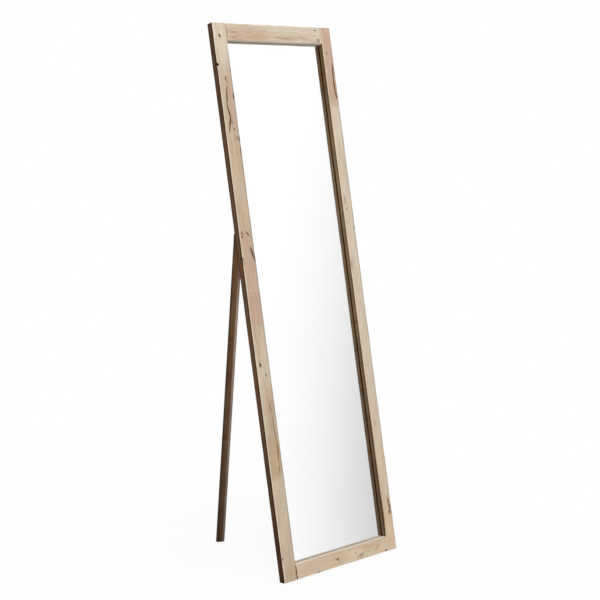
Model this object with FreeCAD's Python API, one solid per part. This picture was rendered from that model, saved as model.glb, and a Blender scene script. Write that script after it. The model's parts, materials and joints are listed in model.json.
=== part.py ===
import FreeCAD, Part
import math
import os

# Full-length floor mirror in a frame of plain boards. It leans back on a pair of folding rear legs.
# The boards, glass and hardware are drawn in the frame's own upright axes: x across, y behind the
# front face, z up from the bottom edge. They are then tipped back onto the floor. The legs are drawn
# about their pivot line. The origin is the middle of the footprint on the floor, with the front on -Y.

# Frame boards
frame_width = 450.0
frame_height = 1700.0
frame_depth = 26.0
left_stile_width = 48.0
right_stile_width = 39.0
top_rail_height = 53.0
bottom_rail_height = 47.0
arris_radius = 1.5
frame_lean = 12.4

# Corner joints
dowel_radius = 4.0
dowel_length = 40.0
dowel_end_gap = 1.0
dowel_edge = 12.0
dowel_pitch = 18.0

# Glass and backing, held in a rebate
glass_thickness = 4.0
backing_thickness = 4.5
rebate_width = 8.0
glass_clearance = 1.0

# Legs: slats on edge, each centred on its stile
leg_width = 10.0
leg_depth = 36.0
leg_lean = 7.0
leg_top = 32.0
leg_top_radius = 12.0
leg_arris = 1.0
foot_flat = 10.0
toe_rise = 10.0
pivot_height = 1038.0
folded_gap = 4.5
heel_gap = 0.25

# Crossbar between the legs
crossbar_height = 40.0
crossbar_thickness = 18.0
crossbar_drop = 58.0
crossbar_arris = 1.0
crossbar_dowel_radius = 4.0
crossbar_dowel_length = 29.0
crossbar_dowel_depth = 7.0
crossbar_dowel_inset = 10.0

# Pivot brackets, folded from steel plate
plate_thickness = 2.5
plate_margin = 6.5
plate_below = 42.0
plate_above = 64.0
lug_radius = 11.0
lug_foot = 30.0
bracket_screw_below = 30.0
bracket_screw_above = 38.0
bracket_screw_pitch = 16.0

# Pivot bolts, bushes, washers and nuts
bolt_radius = 3.0
bolt_head_radius = 5.25
bolt_head_height = 2.8
bolt_end = 1.5
bolt_hole_clearance = 0.1
socket_width = 4.0
socket_depth = 1.6
bush_wall = 1.45
bush_clearance = 0.05
washer_radius = 5.75
washer_thickness = 1.0
side_clearance = 0.15
nut_width = 10.0
nut_height = 5.0
nut_collar_radius = 4.4
nut_collar_height = 1.5

# Countersunk screws of the brackets
bracket_screw_radius = 2.0
bracket_screw_head_radius = 4.0
bracket_screw_length = 18.0

# Clips that hold the backing, with pan head screws
clip_width = 14.0
clip_on_wood = 16.0
clip_on_backing = 14.0
clip_thickness = 1.0
clip_screw_inset = 7.0
clip_end_inset = 120.0
clip_bracket_gap = 60.0
clips_below_bracket = 3
clips_above_bracket = 2
rail_clip_spacing = 150.0
clip_screw_radius = 1.75
clip_screw_length = 13.0
clip_screw_head_radius = 3.4
clip_screw_head_height = 2.0

# Cross recess in the screw heads
recess_length = 3.6
recess_width = 0.9
recess_depth = 1.0

# Values that follow
front_lip = frame_depth - glass_thickness - backing_thickness
opening_left = left_stile_width
opening_right = frame_width - right_stile_width
opening_bottom = bottom_rail_height
opening_top = frame_height - top_rail_height
rebate_bottom = opening_bottom - rebate_width
rebate_top = opening_top + rebate_width
fold_angle = frame_lean + leg_lean
pivot_depth = leg_depth / 2 + folded_gap
bush_radius = bolt_radius + bush_clearance + bush_wall
bolt_hole_radius = bolt_radius + bolt_hole_clearance
leg_to_lug = washer_thickness + side_clearance

lean_sin = math.sin(math.radians(frame_lean))
lean_cos = math.cos(math.radians(frame_lean))
leg_sin = math.sin(math.radians(leg_lean))
leg_cos = math.cos(math.radians(leg_lean))

# The frame stands on its back bottom edge, so its front bottom edge is this far above the floor
front_edge_rise = frame_depth * lean_sin
pivot_y = (frame_depth + pivot_depth) * lean_cos + pivot_height * lean_sin
pivot_z = front_edge_rise - (frame_depth + pivot_depth) * lean_sin + pivot_height * lean_cos
foot_back_y = pivot_y + pivot_z * leg_sin / leg_cos + leg_depth / 2 / leg_cos
frame_back_y = frame_depth * lean_cos + frame_height * lean_sin
footprint_middle = max(foot_back_y, frame_back_y) / 2

AXIS_X = FreeCAD.Vector(1, 0, 0)
AXIS_Y = FreeCAD.Vector(0, 1, 0)


def vec(x, y, z):
    return FreeCAD.Vector(x, y, z)


def box(x0, x1, y0, y1, z0, z1):
    return Part.makeBox(x1 - x0, y1 - y0, z1 - z0, vec(x0, y0, z0))


def rod(radius, length, base, axis):
    return Part.makeCylinder(radius, length, base, axis)


def hexagon(width, height, base):
    """Hexagonal prism along +X, given its width across flats."""
    corner = width / math.sqrt(3)
    turns = [math.radians(60 * i) for i in range(7)]
    points = [base + vec(0, corner * math.cos(a), corner * math.sin(a)) for a in turns]
    return Part.Face(Part.makePolygon(points)).extrude(vec(height, 0, 0))


def spread(start, end, count):
    return [start + (end - start) * i / (count - 1) for i in range(count)]


def lean_back(shape):
    """Moves a shape from the frame's upright axes to the floor."""
    turn = FreeCAD.Rotation(AXIS_X, -frame_lean)
    place = FreeCAD.Placement(vec(-frame_width / 2, -footprint_middle, front_edge_rise), turn)
    return shape.transformed(place.toMatrix())


def stand_leg(shape):
    """Moves a shape from the leg's axes, with the pivot line at y = z = 0, to the floor."""
    turn = FreeCAD.Rotation(AXIS_X, leg_lean)
    place = FreeCAD.Placement(vec(-frame_width / 2, pivot_y - footprint_middle, pivot_z), turn)
    return shape.transformed(place.toMatrix())


def right_hand(shape):
    """The same shape measured in from the right edge of the frame."""
    mirrored = shape.mirror(vec(0, 0, 0), AXIS_X)
    mirrored.translate(vec(frame_width, 0, 0))
    return mirrored


def near(a, b):
    return abs(a - b) < 1e-6


# Frame boards and corner dowels

def stile(width):
    """Full-height board, outer edge at x = 0, with a stopped rebate for the glass."""
    board = box(0, width, 0, frame_depth, 0, frame_height)

    def long_arris(corner):
        on_front = near(corner.y, 0)
        on_outer_back = near(corner.x, 0) and near(corner.y, frame_depth)
        return on_front or on_outer_back

    edges = [e for e in board.Edges if near(e.Length, frame_height)]
    edges = [e for e in edges if long_arris(e.Vertexes[0].Point)]
    board = board.makeFillet(arris_radius, edges)
    rebate = box(width - rebate_width, width, front_lip, frame_depth, rebate_bottom, rebate_top)
    return board.cut(rebate)


def rail(z0, z1, outer, rebate_z0, rebate_z1):
    """Board between the stiles, with a rebate along its inner back edge."""
    board = box(opening_left, opening_right, 0, frame_depth, z0, z1)

    def long_arris(corner):
        on_front = near(corner.y, 0)
        on_outer_back = near(corner.z, outer) and near(corner.y, frame_depth)
        return on_front or on_outer_back

    edges = [e for e in board.Edges if near(e.Vertexes[0].Z, e.Vertexes[-1].Z)]
    edges = [e for e in edges if near(e.Length, opening_right - opening_left)]
    edges = [e for e in edges if long_arris(e.Vertexes[0].Point)]
    board = board.makeFillet(arris_radius, edges)
    rebate = box(opening_left, opening_right, front_lip, frame_depth, rebate_z0, rebate_z1)
    return board.cut(rebate)


def corner_rods(length):
    """Two rods across each of the four butt joints."""
    rows = [dowel_edge, dowel_edge + dowel_pitch]
    heights = rows + [frame_height - row for row in rows]
    joints = [opening_left, opening_right]
    starts = [vec(x - length / 2, frame_depth / 2, z) for x in joints for z in heights]
    return [rod(dowel_radius, length, start, AXIS_X) for start in starts]


# Backing clips and their screws, along the stiles and the rails

def cross_recess(top):
    """Cross recess cut down from a head's top, along -Y from the given point."""
    half = recess_length / 2
    thin = recess_width / 2
    y0 = top.y - recess_depth
    upright = box(top.x - thin, top.x + thin, y0, top.y, top.z - half, top.z + half)
    level = box(top.x - half, top.x + half, y0, top.y, top.z - thin, top.z + thin)
    return upright.fuse(level)


def clip_places():
    """Each clip's point on the edge of the rebate, and its direction from the wood to the backing."""
    low = spread(
        opening_bottom + clip_end_inset,
        pivot_height - plate_below - clip_bracket_gap,
        clips_below_bracket,
    )
    high = spread(
        pivot_height + plate_above + clip_bracket_gap,
        opening_top - clip_end_inset,
        clips_above_bracket,
    )
    middle = (opening_left + opening_right) / 2
    columns = [middle - rail_clip_spacing / 2, middle + rail_clip_spacing / 2]
    left_edge = opening_left - rebate_width
    right_edge = opening_right + rebate_width
    places = [(vec(left_edge, frame_depth, z), 0) for z in low + high]
    places += [(vec(x, frame_depth, rebate_bottom), 90) for x in columns]
    places += [(vec(right_edge, frame_depth, z), 180) for z in low + high]
    places += [(vec(x, frame_depth, rebate_top), 270) for x in columns]
    return places


def at_clip(shape, place):
    """Turns a shape drawn at the origin, wood towards -X, to a clip's place."""
    point, turn = place
    moved = shape.copy()
    moved.rotate(vec(0, 0, 0), AXIS_Y, -turn)
    moved.translate(point)
    return moved


def clip():
    half = clip_width / 2
    plate = box(-clip_on_wood, clip_on_backing, 0, clip_thickness, -half, half)
    corners = [e for e in plate.Edges if near(e.Length, clip_thickness)]
    plate = plate.makeFillet(clip_width / 4, corners)
    hole = rod(clip_screw_radius, clip_thickness, vec(clip_screw_inset - clip_on_wood, 0, 0), AXIS_Y)
    return plate.cut(hole)


def clip_shank():
    """The part of a clip screw that is in the wood."""
    start = vec(clip_screw_inset - clip_on_wood, clip_thickness - clip_screw_length, 0)
    return rod(clip_screw_radius, clip_screw_length, start, AXIS_Y)


def clip_screw():
    seat = vec(clip_screw_inset - clip_on_wood, clip_thickness, 0)
    head = rod(clip_screw_head_radius, clip_screw_head_height, seat, AXIS_Y)
    rim = [e for e in head.Edges if e.Closed and near(e.Vertexes[0].Y, seat.y + clip_screw_head_height)]
    head = head.makeFillet(clip_screw_head_height * 0.6, rim)
    top = seat + vec(0, clip_screw_head_height, 0)
    return clip_shank().fuse(head).cut(cross_recess(top))


# Pivot hardware, drawn for the left side: d is the distance in from the outer edge

def leg_outer(stile_width):
    return (stile_width - leg_width) / 2


def lug_start(stile_width):
    """Where the bracket's lug begins, on the leg's inner side."""
    return leg_outer(stile_width) + leg_width + leg_to_lug


def plate_edges(stile_width):
    return leg_outer(stile_width) - plate_margin, lug_start(stile_width) + plate_thickness


def bracket_screw_points(stile_width):
    d = leg_outer(stile_width) + leg_width / 2
    y = frame_depth + plate_thickness
    drops = [-bracket_screw_below, bracket_screw_above, bracket_screw_above + bracket_screw_pitch]
    return [vec(d, y, pivot_height + drop) for drop in drops]


def bracket_screw(point):
    """Countersunk screw with its flat head level with the plate."""
    length = bracket_screw_length
    shank = rod(bracket_screw_radius, length, point - vec(0, length, 0), AXIS_Y)
    slope = bracket_screw_head_radius - bracket_screw_radius
    head = Part.makeCone(
        bracket_screw_radius,
        bracket_screw_head_radius,
        slope,
        point - vec(0, slope, 0),
        AXIS_Y,
    )
    return shank.fuse(head)


def bracket(stile_width):
    """Plate on the back of the stile with a rounded lug standing on its inner edge."""
    d0, d1 = plate_edges(stile_width)
    back = frame_depth
    plate = box(d0, d1, back, back + plate_thickness, pivot_height - plate_below, pivot_height + plate_above)
    d = lug_start(stile_width)
    pivot = vec(d, back + pivot_depth, pivot_height)
    seat_y = back + plate_thickness
    web = box(d, d1, seat_y, pivot.y, pivot_height - lug_radius, pivot_height + lug_radius)
    gusset = [
        vec(d, seat_y, pivot_height - lug_foot),
        vec(d, seat_y, pivot_height + lug_foot),
        vec(d, pivot.y, pivot_height + lug_radius),
        vec(d, pivot.y, pivot_height - lug_radius),
    ]
    gusset = Part.Face(Part.makePolygon(gusset + gusset[:1])).extrude(vec(plate_thickness, 0, 0))
    nose = rod(lug_radius, plate_thickness, pivot, AXIS_X)
    solid = plate.fuse([web, gusset, nose]).removeSplitter()
    solid = solid.cut(rod(bolt_hole_radius, plate_thickness, pivot, AXIS_X))
    for point in bracket_screw_points(stile_width):
        solid = solid.cut(bracket_screw(point))
    return solid


def pivot_stack(stile_width):
    """Positions along the bolt, from its head to its end."""
    outer = leg_outer(stile_width)
    head_seat = outer - leg_to_lug
    nut_seat = lug_start(stile_width) + plate_thickness
    end = nut_seat + nut_height + nut_collar_height + bolt_end
    return head_seat, nut_seat, end


def on_pivot(d):
    return vec(d, frame_depth + pivot_depth, pivot_height)


def pivot_bolt(stile_width):
    head_seat, _, end = pivot_stack(stile_width)
    shank = rod(bolt_radius, end - head_seat, on_pivot(head_seat), AXIS_X)
    head_start = head_seat - bolt_head_height
    head = rod(bolt_head_radius, bolt_head_height, on_pivot(head_start), AXIS_X)
    rim = [e for e in head.Edges if e.Closed and near(e.Vertexes[0].X, head_start)]
    head = head.makeFillet(bolt_head_height * 0.6, rim)
    socket = hexagon(socket_width, socket_depth, on_pivot(head_start))
    return shank.fuse(head).cut(socket)


def washers(stile_width):
    """Washers between the leg and the bolt's head, and between the leg and the lug."""
    head_seat, _, _ = pivot_stack(stile_width)
    starts = [head_seat, lug_start(stile_width) - washer_thickness]
    rings = []
    for start in starts:
        disc = rod(washer_radius, washer_thickness, on_pivot(start), AXIS_X)
        rings.append(disc.cut(rod(bolt_hole_radius, washer_thickness, on_pivot(start), AXIS_X)))
    return rings


def lock_nut(stile_width):
    _, nut_seat, _ = pivot_stack(stile_width)
    body = hexagon(nut_width, nut_height, on_pivot(nut_seat))
    collar = rod(nut_collar_radius, nut_collar_height, on_pivot(nut_seat + nut_height), AXIS_X)
    hole = rod(bolt_radius, nut_height + nut_collar_height, on_pivot(nut_seat), AXIS_X)
    return body.fuse(collar).cut(hole)


# Leg support, drawn about the pivot line with z up along the leg and y towards its back

def heel_line(z):
    """The y at which the leg, opened to its stop, is heel_gap clear of the bracket's plate."""
    angle = math.radians(fold_angle)
    clear = plate_thickness + heel_gap
    return (clear - pivot_depth + z * math.sin(angle)) / math.cos(angle)


def heel_height(y):
    angle = math.radians(fold_angle)
    clear = plate_thickness + heel_gap
    return (pivot_depth - clear + y * math.cos(angle)) / math.sin(angle)


def foot_height(y):
    """The z of the floor, seen from the leg's axes."""
    return -(pivot_z + y * leg_sin) / leg_cos


def leg(stile_width):
    """Slat on edge with a bevelled heel at the top. Its foot is level at the back and rises to the toe."""
    front = -leg_depth / 2
    back = leg_depth / 2
    toe_start = back - foot_flat
    d = leg_outer(stile_width)
    outline = [
        vec(d, front, foot_height(front) + toe_rise),
        vec(d, toe_start, foot_height(toe_start)),
        vec(d, back, foot_height(back)),
        vec(d, back, leg_top),
        vec(d, heel_line(leg_top), leg_top),
        vec(d, front, heel_height(front)),
    ]
    slat = Part.Face(Part.makePolygon(outline + outline[:1])).extrude(vec(leg_width, 0, 0))
    corner = [e for e in slat.Edges if all(near(v.Y, back) and near(v.Z, leg_top) for v in e.Vertexes)]
    slat = slat.makeFillet(leg_top_radius, corner)
    long_edges = [e for e in slat.Edges if e.Length > leg_depth * 2]
    slat = slat.makeFillet(leg_arris, long_edges)
    return slat.cut(rod(bush_radius, leg_width, vec(d, 0, 0), AXIS_X))


def bush(stile_width):
    start = vec(leg_outer(stile_width), 0, 0)
    sleeve = rod(bush_radius, leg_width, start, AXIS_X)
    return sleeve.cut(rod(bolt_radius + bush_clearance, leg_width, start, AXIS_X))


def crossbar_ends():
    left = leg_outer(left_stile_width) + leg_width
    right = frame_width - leg_outer(right_stile_width) - leg_width
    return left, right


def crossbar():
    left, right = crossbar_ends()
    half = crossbar_thickness / 2
    bar = box(left, right, -half, half, -crossbar_drop - crossbar_height, -crossbar_drop)
    edges = [e for e in bar.Edges if near(e.Length, right - left)]
    return bar.makeFillet(crossbar_arris, edges)


def crossbar_rods(length, depth):
    """Two rods into each leg, reaching the given depth past its inner face."""
    left, right = crossbar_ends()
    top = -crossbar_drop - crossbar_dowel_inset
    bottom = -crossbar_drop - crossbar_height + crossbar_dowel_inset
    starts = [left - depth, right + depth - length]
    return [
        rod(crossbar_dowel_radius, length, vec(d, 0, z), AXIS_X)
        for d in starts
        for z in (top, bottom)
    ]


def cut_all(solid, tools):
    return solid.cut(Part.makeCompound(tools))


def build():
    """Every node of the mirror, by name, in place on the floor."""
    places = clip_places()
    clip_holes = [at_clip(clip_shank(), place) for place in places]
    corner_holes = corner_rods(dowel_length + 2 * dowel_end_gap)
    stile_widths = {"left": left_stile_width, "right": right_stile_width}
    hand = {"left": lambda shape: shape, "right": right_hand}

    nodes = {}
    bracket_screws = []
    washer_rings = []
    for side, width in stile_widths.items():
        turn = hand[side]
        points = bracket_screw_points(width)
        screws = [turn(bracket_screw(point)) for point in points]
        recesses = [turn(cross_recess(point)) for point in points]
        bracket_screws += [screw.cut(recess) for screw, recess in zip(screws, recesses)]
        board = cut_all(turn(stile(width)), corner_holes + clip_holes + screws)
        nodes[side + "_stile"] = lean_back(board)
        nodes[side + "_pivot_bracket"] = lean_back(turn(bracket(width)))
        nodes[side + "_pivot_bolt"] = lean_back(turn(pivot_bolt(width)))
        nodes[side + "_lock_nut"] = lean_back(turn(lock_nut(width)))
        washer_rings += [turn(ring) for ring in washers(width)]

        leg_holes = crossbar_rods(crossbar_dowel_length, crossbar_dowel_depth)
        nodes[side + "_leg"] = stand_leg(cut_all(turn(leg(width)), leg_holes))
        nodes[side + "_pivot_bush"] = stand_leg(turn(bush(width)))

    top = rail(opening_top, frame_height, frame_height, opening_top, rebate_top)
    bottom = rail(0, opening_bottom, 0, rebate_bottom, opening_bottom)
    nodes["top_rail"] = lean_back(cut_all(top, corner_holes + clip_holes))
    nodes["bottom_rail"] = lean_back(cut_all(bottom, corner_holes + clip_holes))
    nodes["corner_dowels"] = lean_back(Part.makeCompound(corner_rods(dowel_length)))

    sheet_left = opening_left - rebate_width + glass_clearance
    sheet_right = opening_right + rebate_width - glass_clearance
    sheet_top = rebate_top - glass_clearance
    glass_back = front_lip + glass_thickness
    glass = box(sheet_left, sheet_right, front_lip, glass_back, rebate_bottom, sheet_top)
    backing = box(sheet_left, sheet_right, glass_back, frame_depth, rebate_bottom, sheet_top)
    nodes["mirror_glass"] = lean_back(glass)
    nodes["backing_board"] = lean_back(backing)

    clips = [at_clip(clip(), place) for place in places]
    clip_screws = [at_clip(clip_screw(), place) for place in places]
    nodes["retainer_clips"] = lean_back(Part.makeCompound(clips))
    nodes["clip_screws"] = lean_back(Part.makeCompound(clip_screws))
    nodes["bracket_screws"] = lean_back(Part.makeCompound(bracket_screws))
    nodes["pivot_washers"] = lean_back(Part.makeCompound(washer_rings))

    bar_dowels = crossbar_rods(crossbar_dowel_length, crossbar_dowel_depth)
    nodes["leg_crossbar"] = stand_leg(cut_all(crossbar(), bar_dowels))
    nodes["crossbar_dowels"] = stand_leg(Part.makeCompound(bar_dowels))
    return nodes


os.makedirs("parts", exist_ok=True)
for name, shape in build().items():
    shape.exportStep("parts/" + name + ".step")
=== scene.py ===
"""Dresses a leaning floor mirror: old boards round silvered glass, with a leg support that folds behind."""

import json
import logging
import math
from dataclasses import dataclass, replace
from enum import Enum
from functools import partial
from typing import Any, Callable, Mapping, Optional, Sequence, Union

import bmesh
import bpy
from mathutils import Matrix, Vector, noise


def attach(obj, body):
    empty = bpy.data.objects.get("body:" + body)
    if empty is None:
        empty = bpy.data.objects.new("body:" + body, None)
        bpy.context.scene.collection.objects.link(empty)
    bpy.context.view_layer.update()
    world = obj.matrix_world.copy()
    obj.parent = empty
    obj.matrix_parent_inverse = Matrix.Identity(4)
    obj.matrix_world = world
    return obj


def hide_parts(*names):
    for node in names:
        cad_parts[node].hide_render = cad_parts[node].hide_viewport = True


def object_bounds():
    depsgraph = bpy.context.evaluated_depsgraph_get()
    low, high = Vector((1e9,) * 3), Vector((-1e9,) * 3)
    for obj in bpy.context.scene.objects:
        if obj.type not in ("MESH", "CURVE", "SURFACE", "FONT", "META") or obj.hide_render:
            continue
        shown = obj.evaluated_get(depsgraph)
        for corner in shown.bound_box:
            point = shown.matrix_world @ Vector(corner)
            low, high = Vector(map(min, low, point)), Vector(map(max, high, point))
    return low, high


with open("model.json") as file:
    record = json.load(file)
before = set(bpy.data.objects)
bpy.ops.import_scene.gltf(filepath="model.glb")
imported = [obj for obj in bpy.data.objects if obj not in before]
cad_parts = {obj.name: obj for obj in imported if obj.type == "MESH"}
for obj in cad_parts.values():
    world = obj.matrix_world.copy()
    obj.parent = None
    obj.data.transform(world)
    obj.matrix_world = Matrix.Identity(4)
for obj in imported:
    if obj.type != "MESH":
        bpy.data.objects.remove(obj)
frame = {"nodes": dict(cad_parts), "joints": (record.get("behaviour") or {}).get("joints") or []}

log = logging.getLogger("floor_mirror")

MM = 0.001
CAD_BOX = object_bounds()

Colour = tuple[float, float, float, float]
Point = tuple[float, float, float]
Span = tuple[float, float]
Material = bpy.types.Material
Socket = bpy.types.NodeSocket
Tree = bpy.types.NodeTree
Inputs = Mapping[Union[int, str], Any]
Adder = Callable[..., Socket]

# Settings that many nodes share: a mix of two colours, a range with soft ends, and the share of a
# normal over which a surface comes to count as facing that way
RGBA = {"out": 2, "data_type": "RGBA"}
SMOOTH = {"interpolation_type": "SMOOTHSTEP"}
FACING = {"From Min": 0.5, "From Max": 0.8}


def linear(code: str) -> Colour:
    """Turns an sRGB hex colour into the linear colour that nodes and lamps take.

    Args:
        code: Colour such as "#c8b49c".

    Returns:
        Linear red, green, blue and an alpha of 1.
    """
    parts = [int(code[i:i + 2], 16) / 255 for i in (1, 3, 5)]
    red, green, blue = [p / 12.92 if p <= 0.04045 else ((p + 0.055) / 1.055) ** 2.4 for p in parts]
    return red, green, blue, 1.0


def feed(node: bpy.types.Node, inputs: Inputs) -> None:
    """Sets or links a node's inputs.

    Args:
        node: The node.
        inputs: Value or socket for each input, by index or name.
    """
    for key, value in inputs.items():
        if isinstance(value, Socket):
            node.id_data.links.new(value, node.inputs[key])
        else:
            node.inputs[key].default_value = value


def add_node(tree: Tree, kind: str, inputs: Inputs, out: Union[int, str] = 0, **settings: Any) -> Socket:
    """Adds one node, sets it up and links it.

    Args:
        tree: Node tree that gets the node.
        kind: Type name without its "ShaderNode" prefix.
        inputs: Value or socket for each input, by index or name.
        out: Output that the caller goes on from.
        **settings: The node's own properties.

    Returns:
        The output socket.
    """
    node = tree.nodes.new("ShaderNode" + kind)
    for key, value in settings.items():
        setattr(node, key, value)
    feed(node, inputs)
    return node.outputs[out]


def cloud(add: Adder, point: Socket, lump: Point, detail: float,
          rough: float = 0.5, out: str = "Fac") -> Socket:
    """Adds an uneven cloud whose lumps have a real size.

    Args:
        add: Adds a node to the material.
        point: Socket with mm.
        lump: Size of a lump along each axis, in mm.
        detail: How many finer layers the cloud has.
        rough: How strong the finer layers are.
        out: "Fac" for one value, "Color" for three.

    Returns:
        Socket with values about 0.5.
    """
    scaled = add("VectorMath", {0: point, 1: [1 / size for size in lump]}, operation="MULTIPLY")
    return add("TexNoise", {
        "Vector": scaled, "Scale": 1.0, "Detail": detail, "Roughness": rough,
    }, out=out)


def wave_scale(spacing: float) -> float:
    """Gives the scale of a wave pattern whose bands lie this many mm apart."""
    return 2 * math.pi / (20 * spacing)


def new_material(name: str) -> tuple[Material, Adder, bpy.types.Node]:
    """Makes a node material.

    Args:
        name: The material's name.

    Returns:
        The material, a function that adds a node to it, and its Principled shader.
    """
    material = bpy.data.materials.new(name)
    material.use_nodes = True
    tree = material.node_tree
    return material, partial(add_node, tree), tree.nodes["Principled BSDF"]


def add_object(name: str, data: bpy.types.ID) -> bpy.types.Object:
    """Puts an object into the scene, at the origin.

    Args:
        name: The object's name.
        data: Its mesh, lamp or camera.

    Returns:
        The object.
    """
    thing = bpy.data.objects.new(name, data)
    bpy.context.scene.collection.objects.link(thing)
    return thing


def add_piece(name: str, shape: bmesh.types.BMesh, material: Material) -> bpy.types.Object:
    """Turns a finished shape into a mesh object.

    Args:
        name: Name of the object and its mesh.
        shape: The shape in metres, which is freed.
        material: What it is made of.

    Returns:
        The object.
    """
    mesh = bpy.data.meshes.new(name)
    shape.to_mesh(mesh)
    shape.free()
    mesh.materials.append(material)
    return add_object(name, mesh)


def corners(points: Sequence[Vector]) -> tuple[Vector, Vector]:
    """Finds the box round some points.

    Args:
        points: The points.

    Returns:
        The lowest and the highest corner.
    """
    low, high = [Vector([pick(point[i] for point in points) for i in range(3)]) for pick in (min, max)]
    return low, high


class Run(Enum):
    """Which way a board's fibres run, seen from the front."""

    UPRIGHT = "upright"
    LEVEL = "level"


class MarkKind(Enum):
    """What a mark in the wood is: four kinds of broad patch, then five kinds of spot."""

    BLEACH = "bleach"
    BLUSH = "blush"
    PEACH = "peach"
    DUN = "dun"
    RING = "ring"
    KNOT = "knot"
    CRACK = "crack"
    HOLE = "hole"
    BITE = "bite"


BLEACH, BLUSH, PEACH, DUN, RING, KNOT, CRACK, HOLE, BITE = MarkKind
PATCH_TONES = {BLEACH: "#ded2bf", BLUSH: "#c9ab99", PEACH: "#e2c6a8", DUN: "#c2a98a"}
SPOT_TONES = {RING: "#8f7557", KNOT: "#6b3f29", CRACK: "#5a2f14", HOLE: "#2e1a0d", BITE: "#120b06"}


@dataclass(frozen=True)
class Mark:
    """One mark in a board: its middle across and up the grid, its half sizes (mm), and how strong it is.

    It is at full strength out to core, in half sizes. Slant is in degrees, top to the right. The middle is as
    far behind the front as back says, and depth is how far the mark reaches from there.
    """

    kind: MarkKind
    across: float
    up: float
    wide: float
    tall: float
    strength: float = 1.0
    core: float = 0.55
    slant: float = 0.0
    depth: float = 9.0
    back: float = 0.0


# Where a mark ends and where its gradient does, in half sizes
MARK_RIM = 1.2
MARK_REACH = 1.3


@dataclass(frozen=True)
class Place:
    """Where a sub-assembly's own grid (mm across, back and up) lies in the shared frame."""

    origin: Point
    lean: float

    def to_world(self) -> Matrix:
        """Gives the matrix from the grid in mm to the shared frame in metres."""
        turn = Matrix.Rotation(math.radians(self.lean), 4, "X")
        return Matrix.Translation(self.origin) @ turn @ Matrix.Scale(MM, 4)

    def grid(self, add: Adder) -> Socket:
        """Adds nodes that read a surface point on the grid.

        Args:
            add: Adds a node to a material of the sub-assembly.

        Returns:
            Socket with mm across, back and up.
        """
        point = add("TexCoord", {}, out="Object")
        return add("Mapping", {
            "Vector": point, "Location": self.origin,
            "Rotation": (math.radians(self.lean), 0, 0), "Scale": (MM, MM, MM),
        }, vector_type="TEXTURE")

    def facing(self, add: Adder) -> Socket:
        """Adds nodes that read which way a surface faces on the grid.

        Args:
            add: Adds a node to a material of the sub-assembly.

        Returns:
            Socket with the unit normal's share across, back and up.
        """
        normal = add("TexCoord", {}, out="Normal")
        return add("Mapping", {
            "Vector": normal, "Rotation": (math.radians(-self.lean), 0, 0),
        }, vector_type="VECTOR")


# How thick the boards are and how far the glass lies behind their fronts, in mm
BOARD_THICK = 26.0
GLASS_BACK = 17.5

# The frame's grid starts at its front lower left corner, to the micrometre, and the legs' on the pivot line
FRAME_LEAN, LEG_LEAN = 12.4, 7.0
LEFT, FRONT = CAD_BOX[0][0], CAD_BOX[0][1]
FRONT_RISE = BOARD_THICK * MM * math.sin(math.radians(FRAME_LEAN))
FRAME_PLACE = Place((round(LEFT, 6), round(FRONT, 6), round(FRONT_RISE, 6)), -FRAME_LEAN)
LEG_PLACE = Place(tuple(frame["joints"][0]["pos_m"]), LEG_LEAN)


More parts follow.
